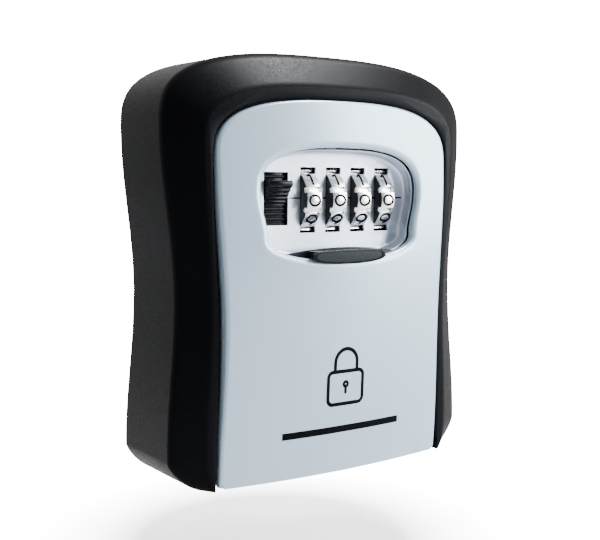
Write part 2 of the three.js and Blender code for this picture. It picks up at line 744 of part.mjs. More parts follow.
const tabInlay = () =>
  prismY(oval(inlay.halfWidth, inlay.bottomZ, inlay.topZ), [tab.frontY + 0.05, tab.frontY + 0.3]);

// ---------------------------------------------------------------- reset slider

function resetSlider() {
  const x = sliderSlot.left + 1.5;
  const z = (sliderSlot.bottomZ + sliderSlot.topZ) / 2;
  const knob = block([x - 2, x + 2], [coverBackY + GAP, coverBackY + 2.2], [z - 2.1, z + 2.1]);
  const neck = block([x - 1.2, x + 1.2], [-12.6, coverBackY + 0.5], [z - 1.1, z + 1.1]);
  const foot = block([x - 3.5, x + 3.5], [-13.4, -12.3], [z - 3, z + 3]);
  const grips = [-1, 0, 1].map((step) =>
    block([x + step * 1.1 - 0.25, x + step * 1.1 + 0.25], [coverBackY + 1.7, coverBackY + 3], [z - 3, z + 3]),
  );
  return cut(join(knob, neck, foot), ...grips);
}

// ---------------------------------------------------------------- assembly

function piece(name, geometry, look) {
  const shaded = geometry.index ? geometry.toNonIndexed() : geometry;
  shaded.computeVertexNormals();
  const mesh = new THREE.Mesh(shaded, new THREE.MeshStandardMaterial(looks[look]));
  mesh.name = name;
  return mesh;
}

function assembly(...pieces) {
  const group = new THREE.Group();
  group.add(...pieces);
  return group;
}

const caseBody = assembly(
  piece("case_shell", caseShell(), "case"),
  piece("strike_plate", strikePlate(), "steel"),
  piece("strike_screw_1", strikeScrew(-1), "steel"),
  piece("strike_screw_2", strikeScrew(1), "steel"),
  piece("hinge_pin_left", hingePin(-1), "steel"),
  piece("hinge_pin_right", hingePin(1), "steel"),
);

const door = assembly(
  piece("door_cover", doorCover(), "door"),
  piece("dial_bezel", dialBezel(), "chrome"),
  piece("lock_housing", lockHousing(), "housing"),
  piece("lock_cover", lockCover(), "housing"),
  piece("dial_shaft", dialShaft(), "steel"),
  piece("shaft_clip", shaftClip(), "steel"),
  piece("detent_spring", detentSpring(), "brass"),
  piece("detent_screw", detentScrew(), "steel"),
  piece("latch_spring", latchSpring(), "steel"),
  ...doorScrews.map((place, i) => piece(`door_screw_${i + 1}`, doorScrew(place), "steel")),
  ...coverScrews.map((place, i) => piece(`cover_screw_${i + 1}`, coverScrew(place), "steel")),
);

const dials = wheelIndexes.map((i) =>
  assembly(
    piece(`number_wheel_${i + 1}`, numberWheel(i), "chrome"),
    piece(`gate_cam_${i + 1}`, gateCam(i), "brass"),
  ),
);

const latchBody = assembly(
  piece("open_button", openButton(), "button"),
  piece("latch_plate", latchPlate(), "steel"),
  piece("fence_comb", fenceComb(), "steel"),
  ...rivets.map((z, i) => piece(`latch_rivet_${i + 1}`, latchRivet(z), "steel")),
  ...fenceRivets.map((x, i) => piece(`fence_rivet_${i + 1}`, fenceRivet(x), "steel")),
);

const shutterBody = assembly(
  piece("shutter_plate", shutterPlate(), "shutter"),
  piece("shutter_tab", shutterTab(), "button"),
  piece("tab_inlay", tabInlay(), "inlay"),
);

const resetBody = assembly(piece("reset_slider", resetSlider(), "button"));

const keyLockBox = assembly(caseBody, door, ...dials, latchBody, shutterBody, resetBody);

export default keyLockBox;
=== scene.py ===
"""Looks of the key lock box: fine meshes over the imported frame, materials, studio and camera.

Outlines and profiles are in millimetres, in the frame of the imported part: +Z up, the door faces -Y,
so the front of a piece is its lowest y. They are turned into metres when a mesh is made.
"""

import json
import math

import bmesh
import bpy
import numpy as np
from mathutils import Matrix, Vector

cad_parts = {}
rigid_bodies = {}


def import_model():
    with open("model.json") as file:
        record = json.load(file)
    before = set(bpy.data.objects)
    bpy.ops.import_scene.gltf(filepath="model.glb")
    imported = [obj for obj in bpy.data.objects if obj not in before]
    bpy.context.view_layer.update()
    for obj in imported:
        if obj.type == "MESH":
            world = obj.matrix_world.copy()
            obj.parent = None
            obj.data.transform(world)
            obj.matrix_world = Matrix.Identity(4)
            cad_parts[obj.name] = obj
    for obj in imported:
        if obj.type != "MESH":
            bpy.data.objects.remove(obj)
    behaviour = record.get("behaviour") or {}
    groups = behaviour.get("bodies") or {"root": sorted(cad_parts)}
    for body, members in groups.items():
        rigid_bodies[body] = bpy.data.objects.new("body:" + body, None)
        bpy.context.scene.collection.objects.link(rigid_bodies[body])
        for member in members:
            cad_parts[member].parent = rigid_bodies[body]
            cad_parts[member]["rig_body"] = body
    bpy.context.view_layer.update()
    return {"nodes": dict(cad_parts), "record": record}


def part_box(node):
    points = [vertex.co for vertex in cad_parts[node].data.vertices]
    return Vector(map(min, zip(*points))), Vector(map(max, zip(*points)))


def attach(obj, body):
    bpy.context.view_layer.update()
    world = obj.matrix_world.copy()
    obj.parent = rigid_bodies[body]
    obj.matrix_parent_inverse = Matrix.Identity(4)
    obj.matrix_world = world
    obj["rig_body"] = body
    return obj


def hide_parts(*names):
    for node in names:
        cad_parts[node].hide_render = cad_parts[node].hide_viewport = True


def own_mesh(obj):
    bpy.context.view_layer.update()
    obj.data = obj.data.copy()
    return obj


MM = 0.001
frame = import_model()
nodes = frame["nodes"]


def mm_box(node):
    low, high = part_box(node)
    return np.array(low) / MM, np.array(high) / MM


# ---------------------------------------------------------------- sizes from the frame

case_low, case_high = mm_box("case_shell")
door_low, door_high = mm_box("door_cover")
floor_z, top_z = case_low[2], case_high[2]
case_half = case_high[0]
rim_y = case_low[1]
door_half = door_high[0]
door_end_y = -31.6  # the door's front at its four corners
bow_rise, bow_middle_z, bow_half_height = 2.05, -6.0, 53.5
door_crown, crown_half_width = 3.4, 40.0
side_end_y, side_lean = -26.2, 0.02  # front end of the side walls
seat_y = -30.3
window_top_z = 34.1
wall = 3.0
wheel_width = 4.95
button_slot_xs = (-23.3, -15.1)
hinge_y, hinge_z = -26, -57
wheel_y, wheel_z, wheel_radius = -22.0, 18.8, 10.0
pad_step = 2 * math.pi / 10  # from one number's pad to the next


# ---------------------------------------------------------------- meshes


def mesh_object(name, points, faces, angle=35):
    """A smooth-shaded object from points in millimetres, sharp where its faces meet above an angle."""
    mesh = bpy.data.meshes.new(name)
    mesh.from_pydata([tuple(float(c) * MM for c in p) for p in points], [], faces)
    mesh.validate()
    mesh.update()
    obj = bpy.data.objects.new(name, mesh)
    bpy.context.scene.collection.objects.link(obj)
    smooth(obj, angle)
    return obj


def smooth(obj, angle=35):
    obj.data.polygons.foreach_set("use_smooth", [True] * len(obj.data.polygons))
    obj.data.set_sharp_from_angle(angle=math.radians(angle))


def loft(name, rings, ring_shaped=False, angle=35):
    """A closed skin through rings of equal length. Ring-shaped, the last ring joins the first."""
    count = len(rings[0])
    points = np.concatenate(rings)
    pairs = len(rings) if ring_shaped else len(rings) - 1
    faces = []
    for r in range(pairs):
        a, b = r * count, ((r + 1) % len(rings)) * count
        for i in range(count):
            j = (i + 1) % count
            faces.append((a + i, a + j, b + j, b + i))
    if not ring_shaped:
        last = (len(rings) - 1) * count
        faces.append(tuple(range(count - 1, -1, -1)))
        faces.append(tuple(range(last, last + count)))
    obj = mesh_object(name, points, faces, angle)
    outward(obj, angle)
    return obj


def outward(obj, angle=35):
    """Turns the faces of a closed mesh to point out."""
    work = bmesh.new()
    work.from_mesh(obj.data)
    bmesh.ops.recalc_face_normals(work, faces=work.faces)
    work.to_mesh(obj.data)
    work.free()
    smooth(obj, angle)


def applied(obj, angle=35):
    """Replaces the object's mesh by what its modifiers make of it."""
    shown = obj.evaluated_get(bpy.context.evaluated_depsgraph_get())
    mesh = bpy.data.meshes.new_from_object(shown)
    old = obj.data
    obj.modifiers.clear()
    obj.data = mesh
    bpy.data.meshes.remove(old)
    smooth(obj, angle)
    return obj


def carve(obj, cutter, angle=35):
    """Cuts a closed mesh away and removes it."""
    change = obj.modifiers.new("carve", "BOOLEAN")
    change.operation = "DIFFERENCE"
    change.object = cutter
    change.solver = "EXACT"
    applied(obj, angle)
    bpy.data.objects.remove(cutter)


def soften(obj, width, segments=2, angle=35):
    """Rounds the sharp edges, width in millimetres."""
    change = obj.modifiers.new("soften", "BEVEL")
    change.width = width * MM
    change.segments = segments
    change.limit_method = "ANGLE"
    change.angle_limit = math.radians(angle)
    return applied(obj, angle)


def merged(name, objects):
    """One object that holds all these meshes."""
    points, faces = [], []
    for obj in objects:
        start = len(points)
        points += [v.co / MM for v in obj.data.vertices]
        faces += [tuple(start + i for i in p.vertices) for p in obj.data.polygons]
        bpy.data.objects.remove(obj)
    return mesh_object(name, points, faces)


def block(name, xs, ys, zs):
    corners = [(x, y, z) for x in xs for y in ys for z in zs]
    faces = [(0, 1, 3, 2), (4, 6, 7, 5), (0, 4, 5, 1), (2, 3, 7, 6), (0, 2, 6, 4), (1, 5, 7, 3)]
    obj = mesh_object(name, corners, faces)
    outward(obj)
    return obj


def rod(name, radius, start, end, sides=48, edge=0.0):
    """A round bar between two points, its ends chamfered by edge."""
    start, end = Vector(start), Vector(end)
    along = (end - start).normalized()
    side = along.orthogonal().normalized()
    other = along.cross(side)
    turns = [2 * math.pi * i / sides for i in range(sides)]
    length = (end - start).length
    stations = [(0, radius), (length, radius)]
    if edge:
        stations = [(0, radius - edge), (edge, radius), (length - edge, radius), (length, radius - edge)]
    rings = [
        np.array([start + along * t + (side * math.cos(a) + other * math.sin(a)) * r for a in turns])
        for t, r in stations
    ]
    return loft(name, rings)


# ---------------------------------------------------------------- outlines


def ease(t):
    return (1 - np.cos(np.pi * t)) / 2


def outline(shoulder, top, dome, foot, floor, corner, waist=None, steps=60):
    """Points (x, z) round a symmetric outline.

    The top is domed from the shoulders, the sides ease from width to width, and the foot rounds into
    the floor.
    """
    t = np.linspace(np.pi / 2, 0, steps, endpoint=False)
    right = [
        np.column_stack(
            (
                floor[0] + (foot[0] - floor[0]) * np.cos(t) ** (2 / corner),
                foot[1] + (floor[1] - foot[1]) * np.sin(t) ** (2 / corner),
            )
        )
    ]
    stops = [foot, waist, shoulder] if waist else [foot, shoulder]
    for a, b in zip(stops, stops[1:]):
        t = np.linspace(0, 1, steps, endpoint=False)
        right.append(np.column_stack((a[0] + (b[0] - a[0]) * ease(t), a[1] + (b[1] - a[1]) * t)))
    t = np.linspace(0, np.pi / 2, steps)
    right.append(
        np.column_stack(
            (
                shoulder[0] * np.abs(np.cos(t)) ** (2 / dome),
                shoulder[1] + (top - shoulder[1]) * np.sin(t) ** (2 / dome),
            )
        )
    )
    right = np.concatenate(right)
    left = right[::-1] * (-1, 1)
    return np.concatenate((right, left[1:]))


def case_outline(inset=0.0):
    return outline(
        shoulder=(case_half - inset, 39.2),
        top=top_z - inset,
        dome=2.83,
        waist=(49.3 - inset, -7.2),
        foot=(52 - inset, -51.6),
        floor=(43.2 - inset, floor_z + inset),
        corner=1.4,
    )


def rim_outline():
    return outline(
        shoulder=(44, 34),
        top=50.7,
        dome=2.9,
        waist=(41.8, -12),
        foot=(43.2, -50),
        floor=(40.6, floor_z),
        corner=2,
    )


def door_outline(offset=0.0, bottom_z=None):
    bottom_z = door_low[2] if bottom_z is None else bottom_z
    return outline(
        shoulder=(door_half + offset, 30.5),
        top=door_high[2] + offset,
        dome=2.79,
        waist=(38.2 + offset, -17.4),
        foot=(39.3 + offset, bottom_z + 0.5),
        floor=(38.8 + offset, bottom_z),
        corner=2,
    )


def window_outline(offset=0.0):
    return outline(
        shoulder=(28.5 + offset, 21),
        top=window_top_z + offset,
        dome=2.7,
        foot=(26.4 + offset, 8.5),
        floor=(0, 1.6 - offset),
        corner=2.2,
    )


def cup_outline(offset=0.0):
    """The bezel's cup: as the window, but lower, so that a gap shows along the window's top."""
    return outline(
        shoulder=(28.5 + offset, 20),
        top=window_top_z - 0.65 + offset,
        dome=2.9,
        foot=(26.4 + offset, 8.5),
        floor=(0, 1.6 - offset),
        corner=2.2,
    )


def lens(half_width, bottom_z, lens_top, steps=64):
    """A lip's outline: nearly flat along the top and round underneath."""
    turns = np.linspace(0, 2 * np.pi, steps, endpoint=False)
    cos, sin = np.cos(turns), np.sin(turns)
    middle = lens_top - 0.42 * (lens_top - bottom_z)
    above = sin > 0
    power = np.where(above, 4.0, 2.5)
    reach = np.where(above, lens_top - middle, middle - bottom_z)
    x = half_width * np.sign(cos) * np.abs(cos) ** (2 / power)
    return np.column_stack((x, middle + reach * np.sign(sin) * np.abs(sin) ** (2 / power)))


def around(points, centre, angles):
    """The points where rays from a centre, at these angles, cross a closed outline."""
    away = np.array(divided([*points, points[0]], 0.5)[:-1]) - centre
    turn = np.unwrap(np.arctan2(away[:, 1], away[:, 0]))
    reach = np.hypot(away[:, 0], away[:, 1])
    keep = np.concatenate(([True], np.diff(turn) > 1e-9))
    radius = np.interp(angles, turn[keep], reach[keep], period=2 * np.pi)
    return np.column_stack((centre[0] + radius * np.cos(angles), centre[1] + radius * np.sin(angles)))


def ring(points, y):
    """The outline at a depth y, which is a number or a function of x and z."""
    depth = y(points[:, 0], points[:, 1]) if callable(y) else np.full(len(points), float(y))
    return np.column_stack((points[:, 0], depth, points[:, 1]))


def bend(a, b, c, steps=6):
    """Points on a soft corner from a by way of b to c."""
    t = np.linspace(0, 1, steps + 1)[:, None]
    a, b, c = (np.array(p, float) for p in (a, b, c))
    return (1 - t) ** 2 * a + 2 * t * (1 - t) * b + t**2 * c


def front_y(x, z):
    """The door's front, crowned across and bowed along its height."""
    edge_y = door_end_y - bow_rise * (1 - ((z - bow_middle_z) / bow_half_height) ** 2)
    return edge_y - door_crown * (1 - (x / crown_half_width) ** 2)


def slide_y(depth):
    """A depth behind the front at the window's top, where the shutter passes closest."""
    return lambda x, z: front_y(x, window_top_z) + depth


TURN = np.linspace(0, 2 * np.pi, 320, endpoint=False)


# ---------------------------------------------------------------- materials


class Look:
    """A Principled material, and short calls for the nodes that vary it."""

    def __init__(self, name, color, roughness, metallic=0.0, **inputs):
        self.material = bpy.data.materials.new(name)
        self.material.use_nodes = True
        self.tree = self.material.node_tree
        self.shader = self.tree.nodes["Principled BSDF"]
        self.shader.inputs["Base Color"].default_value = (*color, 1)
        self.shader.inputs["Roughness"].default_value = roughness
        self.shader.inputs["Metallic"].default_value = metallic
        for key, value in inputs.items():
            self.shader.inputs[key.replace("_", " ")].default_value = value
        self.place = self.tree.nodes.new("ShaderNodeTexCoord").outputs["Object"]
        self.color = color
        self.height = None

    def node(self, kind, **settings):
        node = self.tree.nodes.new(kind)
        for key, value in settings.items():
            setattr(node, key, value)
        return node

    def link(self, source, target):
        self.tree.links.new(source, target)

    def noise(self, scale, detail=3.0, stretch=(1, 1, 1)):
        moved = self.node("ShaderNodeMapping")
        moved.inputs["Scale"].default_value = stretch
        self.link(self.place, moved.inputs["Vector"])
        noise = self.node("ShaderNodeTexNoise")
        noise.inputs["Scale"].default_value = scale
        noise.inputs["Detail"].default_value = detail
        self.link(moved.outputs["Vector"], noise.inputs["Vector"])
        return noise.outputs["Fac"]

    def span(self, source, low, high, start=0.35, end=0.65):
        spread = self.node("ShaderNodeMapRange")
        for key, value in zip(("From Min", "From Max", "To Min", "To Max"), (start, end, low, high)):
            spread.inputs[key].default_value = value
        self.link(source, spread.inputs["Value"])
        return spread.outputs["Result"]

    def tint(self, source, low, high):
        """Base colour between two strengths of the material's own colour."""
        mix = self.node("ShaderNodeMix", data_type="RGBA")
        mix.inputs["A"].default_value = (*(c * low for c in self.color), 1)
        mix.inputs["B"].default_value = (*(c * high for c in self.color), 1)
        self.link(self.span(source, 0, 1), mix.inputs["Factor"])
        self.link(mix.outputs["Result"], self.shader.inputs["Base Color"])
        return mix.outputs["Result"]

    def gloss(self, source, low, high):
        self.link(self.span(source, low, high), self.shader.inputs["Roughness"])

    def bump(self, source, strength, distance):
        bump = self.node("ShaderNodeBump")
        bump.inputs["Strength"].default_value = strength
        bump.inputs["Distance"].default_value = distance * MM
        self.link(source, bump.inputs["Height"])
        if self.height:
            self.link(self.height, bump.inputs["Normal"])
        self.height = bump.outputs["Normal"]
        self.link(self.height, self.shader.inputs["Normal"])

    def painted_edge_highlight(self, source_color, edge_color, start, end, share):
        """A painted highlight: a thin lighter line where an outer edge stands proud."""
        edges = self.node("ShaderNodeNewGeometry").outputs["Pointiness"]
        mix = self.node("ShaderNodeMix", data_type="RGBA")
        self.link(self.span(edges, 0, share, start, end), mix.inputs["Factor"])
        self.link(source_color, mix.inputs["A"])
        mix.inputs["B"].default_value = (*edge_color, 1)
        self.link(mix.outputs["Result"], self.shader.inputs["Base Color"])


def powder_coat(name):
    """The case's black: nearly no sheen, slightly blue, with a fine orange-peel grain."""
    cool = (0.86, 0.9, 1, 1)
    look = Look(name, (0.0011, 0.0012, 0.0018), 0.4, Specular_IOR_Level=0.05, Specular_Tint=cool)
    grain = look.noise(2600, 2)
    cloud = look.noise(45, 3)
    color = look.tint(cloud, 0.8, 1.35)
    # a lighter line along the case's outer edges: a painted highlight
    look.painted_edge_highlight(color, (0.012, 0.012, 0.013), 0.53, 0.66, 0.5)
    look.gloss(grain, 0.30, 0.46)
    look.bump(look.noise(1100, 2), 0.2, 0.05)
    look.bump(grain, 0.5, 0.02)
    return look.material


def door_paint(name):
    """The door's pale blue-grey metallic paint under a thin clear coat."""
    look = Look(name, (0.415, 0.56, 0.68), 0.3, 0.35, Coat_Weight=0.3, Coat_Roughness=0.2)
    flake = look.noise(5200, 1)
    cloud = look.noise(22, 2)
    look.tint(cloud, 0.97, 1.03)
    look.gloss(flake, 0.28, 0.36)
    look.bump(look.noise(420, 3), 0.05, 0.02)
    look.bump(flake, 0.05, 0.008)
    return look.material


def plated(name, color, roughness, grain, lines=(1, 1, 1)):
    """Plated or drawn metal. lines stretches the grain along an axis."""
    look = Look(name, color, roughness, 1.0)
    fine = look.noise(grain, 4, lines)
    look.tint(look.noise(60, 3), 0.93, 1.05)
    look.gloss(fine, roughness - 0.06, roughness + 0.06)
    look.bump(fine, 0.05, 0.01)
    return look.material


def moulded(name, color, roughness, grain, depth, **inputs):
    """Moulded plastic with a fine grain, with a painted highlight along its outer edges."""
    look = Look(name, color, roughness, **inputs)
    fine = look.noise(grain, 2)
    clouded = look.tint(look.noise(70, 3), 0.85, 1.2)
    # a paler copy of the colour, painted along the edges as a highlight
    edge_highlight_color = tuple(c * 2.2 + 0.01 for c in color)
    look.painted_edge_highlight(clouded, edge_highlight_color, 0.53, 0.68, 0.4)
    look.gloss(fine, roughness - 0.06, roughness + 0.08)
    look.bump(fine, 0.25, depth)
    return look.material


def ink(name):
    look = Look(name, (0.0012, 0.0014, 0.002), 0.6, Specular_IOR_Level=0.03)
    look.tint(look.noise(800, 2), 0.8, 1.5)
    look.bump(look.noise(1500, 1), 0.05, 0.01)
    return look.material


looks = {
    "case_black": powder_coat("case_powder_coat"),
    "door_grey": door_paint("door_paint"),
    "bezel_silver": plated("bezel_plating", (0.60, 0.66, 0.76), 0.4, 500),
    "wheel_chrome": plated("wheel_plating", (0.93, 0.94, 0.95), 0.22, 700),
    "wheel_side": plated("wheel_side_dark", (0.06, 0.065, 0.07), 0.5, 900),
    "cam_brass": plated("cam_brass_metal", (0.66, 0.48, 0.2), 0.3, 1200),
    # brass, darkened as painted shade for where the leaf shows deep in the wheel slots
    "detent_brass": plated("detent_brass_painted_shade", (0.2, 0.15, 0.07), 0.3, 900, lines=(0.1, 1, 1)),
    "zinc_steel": plated("zinc_plate", (0.55, 0.56, 0.57), 0.32, 1100, lines=(0.15, 1, 1)),
    "screw_steel": plated("screw_zinc", (0.5, 0.51, 0.52), 0.28, 1500),
    "rivet_steel": plated("rivet_plain", (0.46, 0.46, 0.48), 0.38, 1300),
    "spring_steel": plated("spring_wire", (0.38, 0.39, 0.41), 0.25, 1800),
    "housing_plastic": moulded("housing_moulding", (0.008, 0.0085, 0.010), 0.55, 1100, 0.05),
    "button_black": moulded("button_gloss", (0.0006, 0.001, 0.003), 0.2, 900, 0.01, Specular_IOR_Level=0.12),
    "shutter_slate": moulded("shutter_satin", (0.008, 0.012, 0.019), 0.4, 1000, 0.02, Specular_IOR_Level=0.2),
    "tab_navy": moulded("tab_satin", (0.0008, 0.0014, 0.0035), 0.3, 900, 0.02, Specular_IOR_Level=0.12),
    "inlay_slate": moulded("inlay_pad", (0.014, 0.019, 0.0215), 0.5, 1600, 0.04, Specular_IOR_Level=0.12),
    "slider_red": moulded("slider_gloss", (0.35, 0.02, 0.015), 0.3, 1000, 0.02),
    "print": ink("printed_ink"),
}


def wear(obj, slot, *extra):
    """Gives a piece its material, and more for faces that use a further slot."""
    obj.data.materials.clear()
    for name in (slot, *extra):
        obj.data.materials.append(looks[name])


def stands_for(obj, slot, body, node):
    """The object takes the CAD node's place, on its body."""
    wear(obj, slot)
    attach(obj, body)
    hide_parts(node)


# ---------------------------------------------------------------- case


def case_rings():
    """The outside from the wall to the rim: rounded back edge, straight side, soft edge, bevel."""
    back_edge = 0.6
    rings = []
    for a in np.linspace(0, np.pi / 2, 5):
        inset = back_edge * (1 - math.sin(a))
        rings.append(ring(case_outline(inset), -back_edge * (1 - math.cos(a))))
    side, rim = case_outline(), rim_outline()
    end_y = side_end_y + side_lean * side[:, 1]
    # each step is the share of the way from side to rim, across and forward
    soft_side = bend((0, -0.45), (-0.07, -0.05), (0.24, 0.24), 8)
    soft_rim = bend((0.86, 0.86), (0.985, 0.985), (1.06, 1.0), 5)
    for across, forward in np.concatenate((soft_side, soft_rim)):
        here = side + (rim - side) * across
        depth = end_y + (rim_y - end_y) * forward
        rings.append(np.column_stack((here[:, 0], depth, here[:, 1])))
    return [on_floor(r) for r in rings]


def on_floor(points):
    """Lifts what lies below the case's floor onto it."""
    points[:, 2] = np.maximum(points[:, 2], floor_z)
    return points


def case_cavity():
    """The key space: straight from the back wall, then drawn in to pass under the lip."""
    straight_end, lip_back = -24.5, -28.9
    lip_share = 0.55  # of the way from the side to the rim
    narrower, lower = 0.935, 0.944  # leaves about a wall's thickness under the lip
    side, rim = case_outline(), rim_outline()
    lip = side + (rim - side) * lip_share
    lip_inside = np.column_stack((lip[:, 0] * narrower, np.maximum(lip[:, 1] * lower, floor_z + wall)))
    inside = case_outline(wall)
    return loft("cavity", [ring(inside, -wall), ring(inside, straight_end), ring(lip_inside, lip_back)])


def door_opening():
    """The opening for the door, with a rounded edge at the rim."""
    gap, edge = 0.5, 0.8
    below = floor_z - 1
    round_edge = bend((0, rim_y + 0.7), (0.05, rim_y + 0.1), (edge, rim_y - 0.02), 4)
    stations = [(0, -30), (0, rim_y + 0.9), *round_edge, (edge, rim_y - 2)]
    return loft("opening", [ring(door_outline(gap + d, below), y) for d, y in stations])


def case_tools():
    """What is cut out of the case behind its door: ledge, room for the hinge barrel and wall holes."""
    below = floor_z - 1
    ledge_outline = door_outline(-1.2, below)
    yield loft("ledge", [ring(ledge_outline, -27.9), ring(ledge_outline, -30.5)])
    yield block("barrel_room", (-40.5, 40.5), (rim_y - 1, -22.4), (below, floor_z + wall + 1))
    for x in (-28, 28):
        for z in (32, -42):
            yield rod("wall_hole", 2.6, (x, -wall - 1, z), (x, 1, z), 32)
            yield rod("wall_sink", 4.6, (x, -wall - 1, z), (x, -wall + 1, z), 32)


def hinge_knuckles():
    """At each end of the hinge a knuckle, with a web down to the case's floor."""
    for end in (-1, 1):
        xs = sorted((end * 38.5, end * 42.6))
        yield rod("knuckle", 3, (xs[0], hinge_y, hinge_z), (xs[1], hinge_y, hinge_z), 40)
        yield block("knuckle_web", xs, (hinge_y, -22), (floor_z, -54))


def make_case():
    """The black case: one shell cut open for the key space and the door, and its hinge knuckles."""
    shell = loft("case_shell_fine", case_rings())
    for tool in (case_cavity(), door_opening(), *case_tools()):
        carve(shell, tool)
    smooth(shell)
    shell = merged("case_shell_fine", [shell, *hinge_knuckles()])
    stands_for(shell, "case_black", "case", "case_shell")


# ---------------------------------------------------------------- door


def make_door():
    """The crowned skin as one ring-shaped loft, from the window's edge over the front and back again."""
    centre = (0, 18)
    thin, edge = 1.25, 2.2  # thickness of the skin, and of its edge all round
    lip = -0.5  # the window's inner edge
    roll, fall = 2.2, 1.0  # width and depth of the window's rolled edge
    round_edge = 0.9
    quarter = np.pi / 2

    def at(points, y):
        return ring(around(points, centre, TURN), y)

    def under(depth):
        return lambda x, z: front_y(x, z) + depth

    def hollow(x, z):
        return np.minimum(front_y(x, z) + 1.9, seat_y - 0.05)

    rings = [at(window_outline(lip), slide_y(1.38))]
    for a in np.linspace(0, quarter, 10):
        inset = lip + roll * (1 - math.cos(a))
        rings.append(at(window_outline(inset), under(fall * (1 - math.sin(a)))))
    inner = around(window_outline(lip + roll + 0.2), centre, TURN)
    outer = around(door_outline(-1.1), centre, TURN)
    for share in np.linspace(0, 1, 14):
        rings.append(ring(inner + (outer - inner) * share, front_y))
    for a in np.linspace(0, quarter, 6):
        outset = -round_edge + round_edge * math.sin(a)
        rings.append(at(door_outline(outset), under(round_edge * (1 - math.cos(a)))))
    back_outline = door_outline(-edge, door_low[2] + edge)
    rings.append(at(door_outline(0), seat_y))
    rings.append(at(back_outline, seat_y))
    rings.append(at(back_outline, hollow))
    rings.append(at(window_outline(3.4), under(thin)))
    rings.append(at(window_outline(0.6), under(thin)))
    rings.append(at(window_outline(-0.1), slide_y(1.4)))
    skin = loft("door_skin", rings, ring_shaped=True, angle=50)
    half = 38
    barrel = rod("barrel", 2.6, (-half, hinge_y, hinge_z), (half, hinge_y, hinge_z), 48, 0.3)
    web = block("web", (-half, half), (seat_y - 0.5, hinge_y), (door_low[2], door_low[2] + edge))
    cover = merged("door_cover_fine", [skin, barrel, web])
    smooth(cover, 50)
    stands_for(cover, "door_grey", "door", "door_cover")


# ---------------------------------------------------------------- bezel

bezel_floor_y, bezel_back_y = -28.4, -27.8
slot_half = 2.7  # of a number wheel's slot
wheel_middles = [mm_box(f"number_wheel_{i}")[0][0] + wheel_width / 2 for i in range(1, 5)]


def make_bezel():
    """The silver dish behind the window: a thin-walled cup with slots, and an ear at either side."""
    floor_corner = bend((-1.9, bezel_floor_y), (-0.75, bezel_floor_y), (-0.7, bezel_floor_y - 1.1), 6)
    rim = bend((-0.62, 2.7), (-0.55, 2.45), (-0.35, 2.45), 3)
    rings = [ring(cup_outline(-0.1), bezel_back_y), ring(cup_outline(-0.1), slide_y(2.7))]
    rings += [ring(cup_outline(inset), slide_y(d)) for inset, d in rim[::-1]]
    rings += [ring(cup_outline(inset), y) for inset, y in floor_corner[::-1]]
    cup = loft("cup", rings, angle=45)
    slots = [((x - slot_half, x + slot_half), (9.5, 28.2)) for x in wheel_middles]
    slots.append((button_slot_xs, (11.8, 26.7)))
    for xs, zs in slots:
        carve(cup, block("slot", xs, (bezel_floor_y - 1, bezel_back_y + 1), zs), angle=45)
    ears = [block("ear", sorted((side * 27.9, side * 32)), (-31.2, -30.3), (9, 29.5)) for side in (-1, 1)]
    tray = merged("dial_bezel_fine", [cup, *ears])
    smooth(tray, 45)
    stands_for(tray, "bezel_silver", "door", "dial_bezel")


def make_index_line():
    """The fine line across the bezel's floor at the number to read, broken by the slots."""
    y, low_z, high_z = bezel_floor_y - 0.02, 19.22, 19.58
    stops = [button_slot_xs[1] + 0.4]
    for x in wheel_middles:
        stops += [x - slot_half, x + slot_half]
    stops.append(26.8)
    points, faces = [], []
    for left, right in zip(stops[::2], stops[1::2]):
        start = len(points)
        points += [(left, y, low_z), (right, y, low_z), (right, y, high_z), (left, y, high_z)]
        faces.append(tuple(range(start, start + 4)))
    line = mesh_object("index_line", points, faces)
    wear(line, "print")
    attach(line, "door")


# ---------------------------------------------------------------- number wheels


def arc(centre, radius, start, end, steps=14):
    """Points on an arc, from and to angles in degrees."""
    turns = np.radians(np.linspace(start, end, steps))
    return [(centre[0] + radius * math.cos(t), centre[1] + radius * math.sin(t)) for t in turns]


# each numeral as strokes in a box one unit high
STROKES = {
    0: [arc((0, 0), 0.5, 0, 360, 40)],
    1: [[(-0.2, 0.28), (0.02, 0.5)], [(0.02, 0.5), (0.02, -0.5)]],
    2: [arc((0, 0.2), 0.3, 165, -35) + [(-0.32, -0.5), (0.34, -0.5)]],
    3: [arc((0, 0.24), 0.26, 150, -90) + arc((0, -0.24), 0.28, 90, -150)],
    4: [[(0.14, -0.5), (0.14, 0.5), (-0.36, -0.2), (0.36, -0.2)]],
    5: [[(0.3, 0.5), (-0.24, 0.5), (-0.28, 0.06)] + arc((0, -0.18), 0.32, 130, -140)],
    6: [arc((0, -0.2), 0.3, 0, 360, 28), arc((0.32, -0.2), 0.62, 180, 118)],
    7: [[(-0.32, 0.5), (0.34, 0.5), (-0.08, -0.5)]],
    8: [arc((0, 0.25), 0.23, 0, 360, 24), arc((0, -0.23), 0.28, 0, 360, 26)],
    9: [arc((0, 0.2), 0.3, 0, 360, 28), arc((-0.32, 0.2), 0.62, 0, -62)],
}


def ribbon(stroke, half_width):
    """Left and right points of a flat stroke."""
    points = [Vector(p) for p in stroke]
    loop = (points[0] - points[-1]).length < 1e-6
    sides = []
    for i, here in enumerate(points):
        before = points[i - 1] if i else (points[-2] if loop else here)
        after = points[i + 1] if i + 1 < len(points) else (points[1] if loop else here)
        along = (after - before).normalized()
        across = Vector((-along.y, along.x)) * half_width
        sides.append((here + across, here - across))
    return sides


def divided(stroke, step=0.8):
    """The same line with points no further apart than a step."""
    points = [stroke[0]]
    for (ax, ay), (bx, by) in zip(stroke, stroke[1:]):
        count = max(1, math.ceil(math.hypot(bx - ax, by - ay) / step))
        points += [(ax + (bx - ax) * i / count, ay + (by - ay) * i / count) for i in range(1, count + 1)]
    return points


def strip_faces(start, end):
    """Faces of a flat strip whose points come in pairs, left and right."""
    return [(i, i + 1, i + 3, i + 2) for i in range(start, end - 2, 2)]


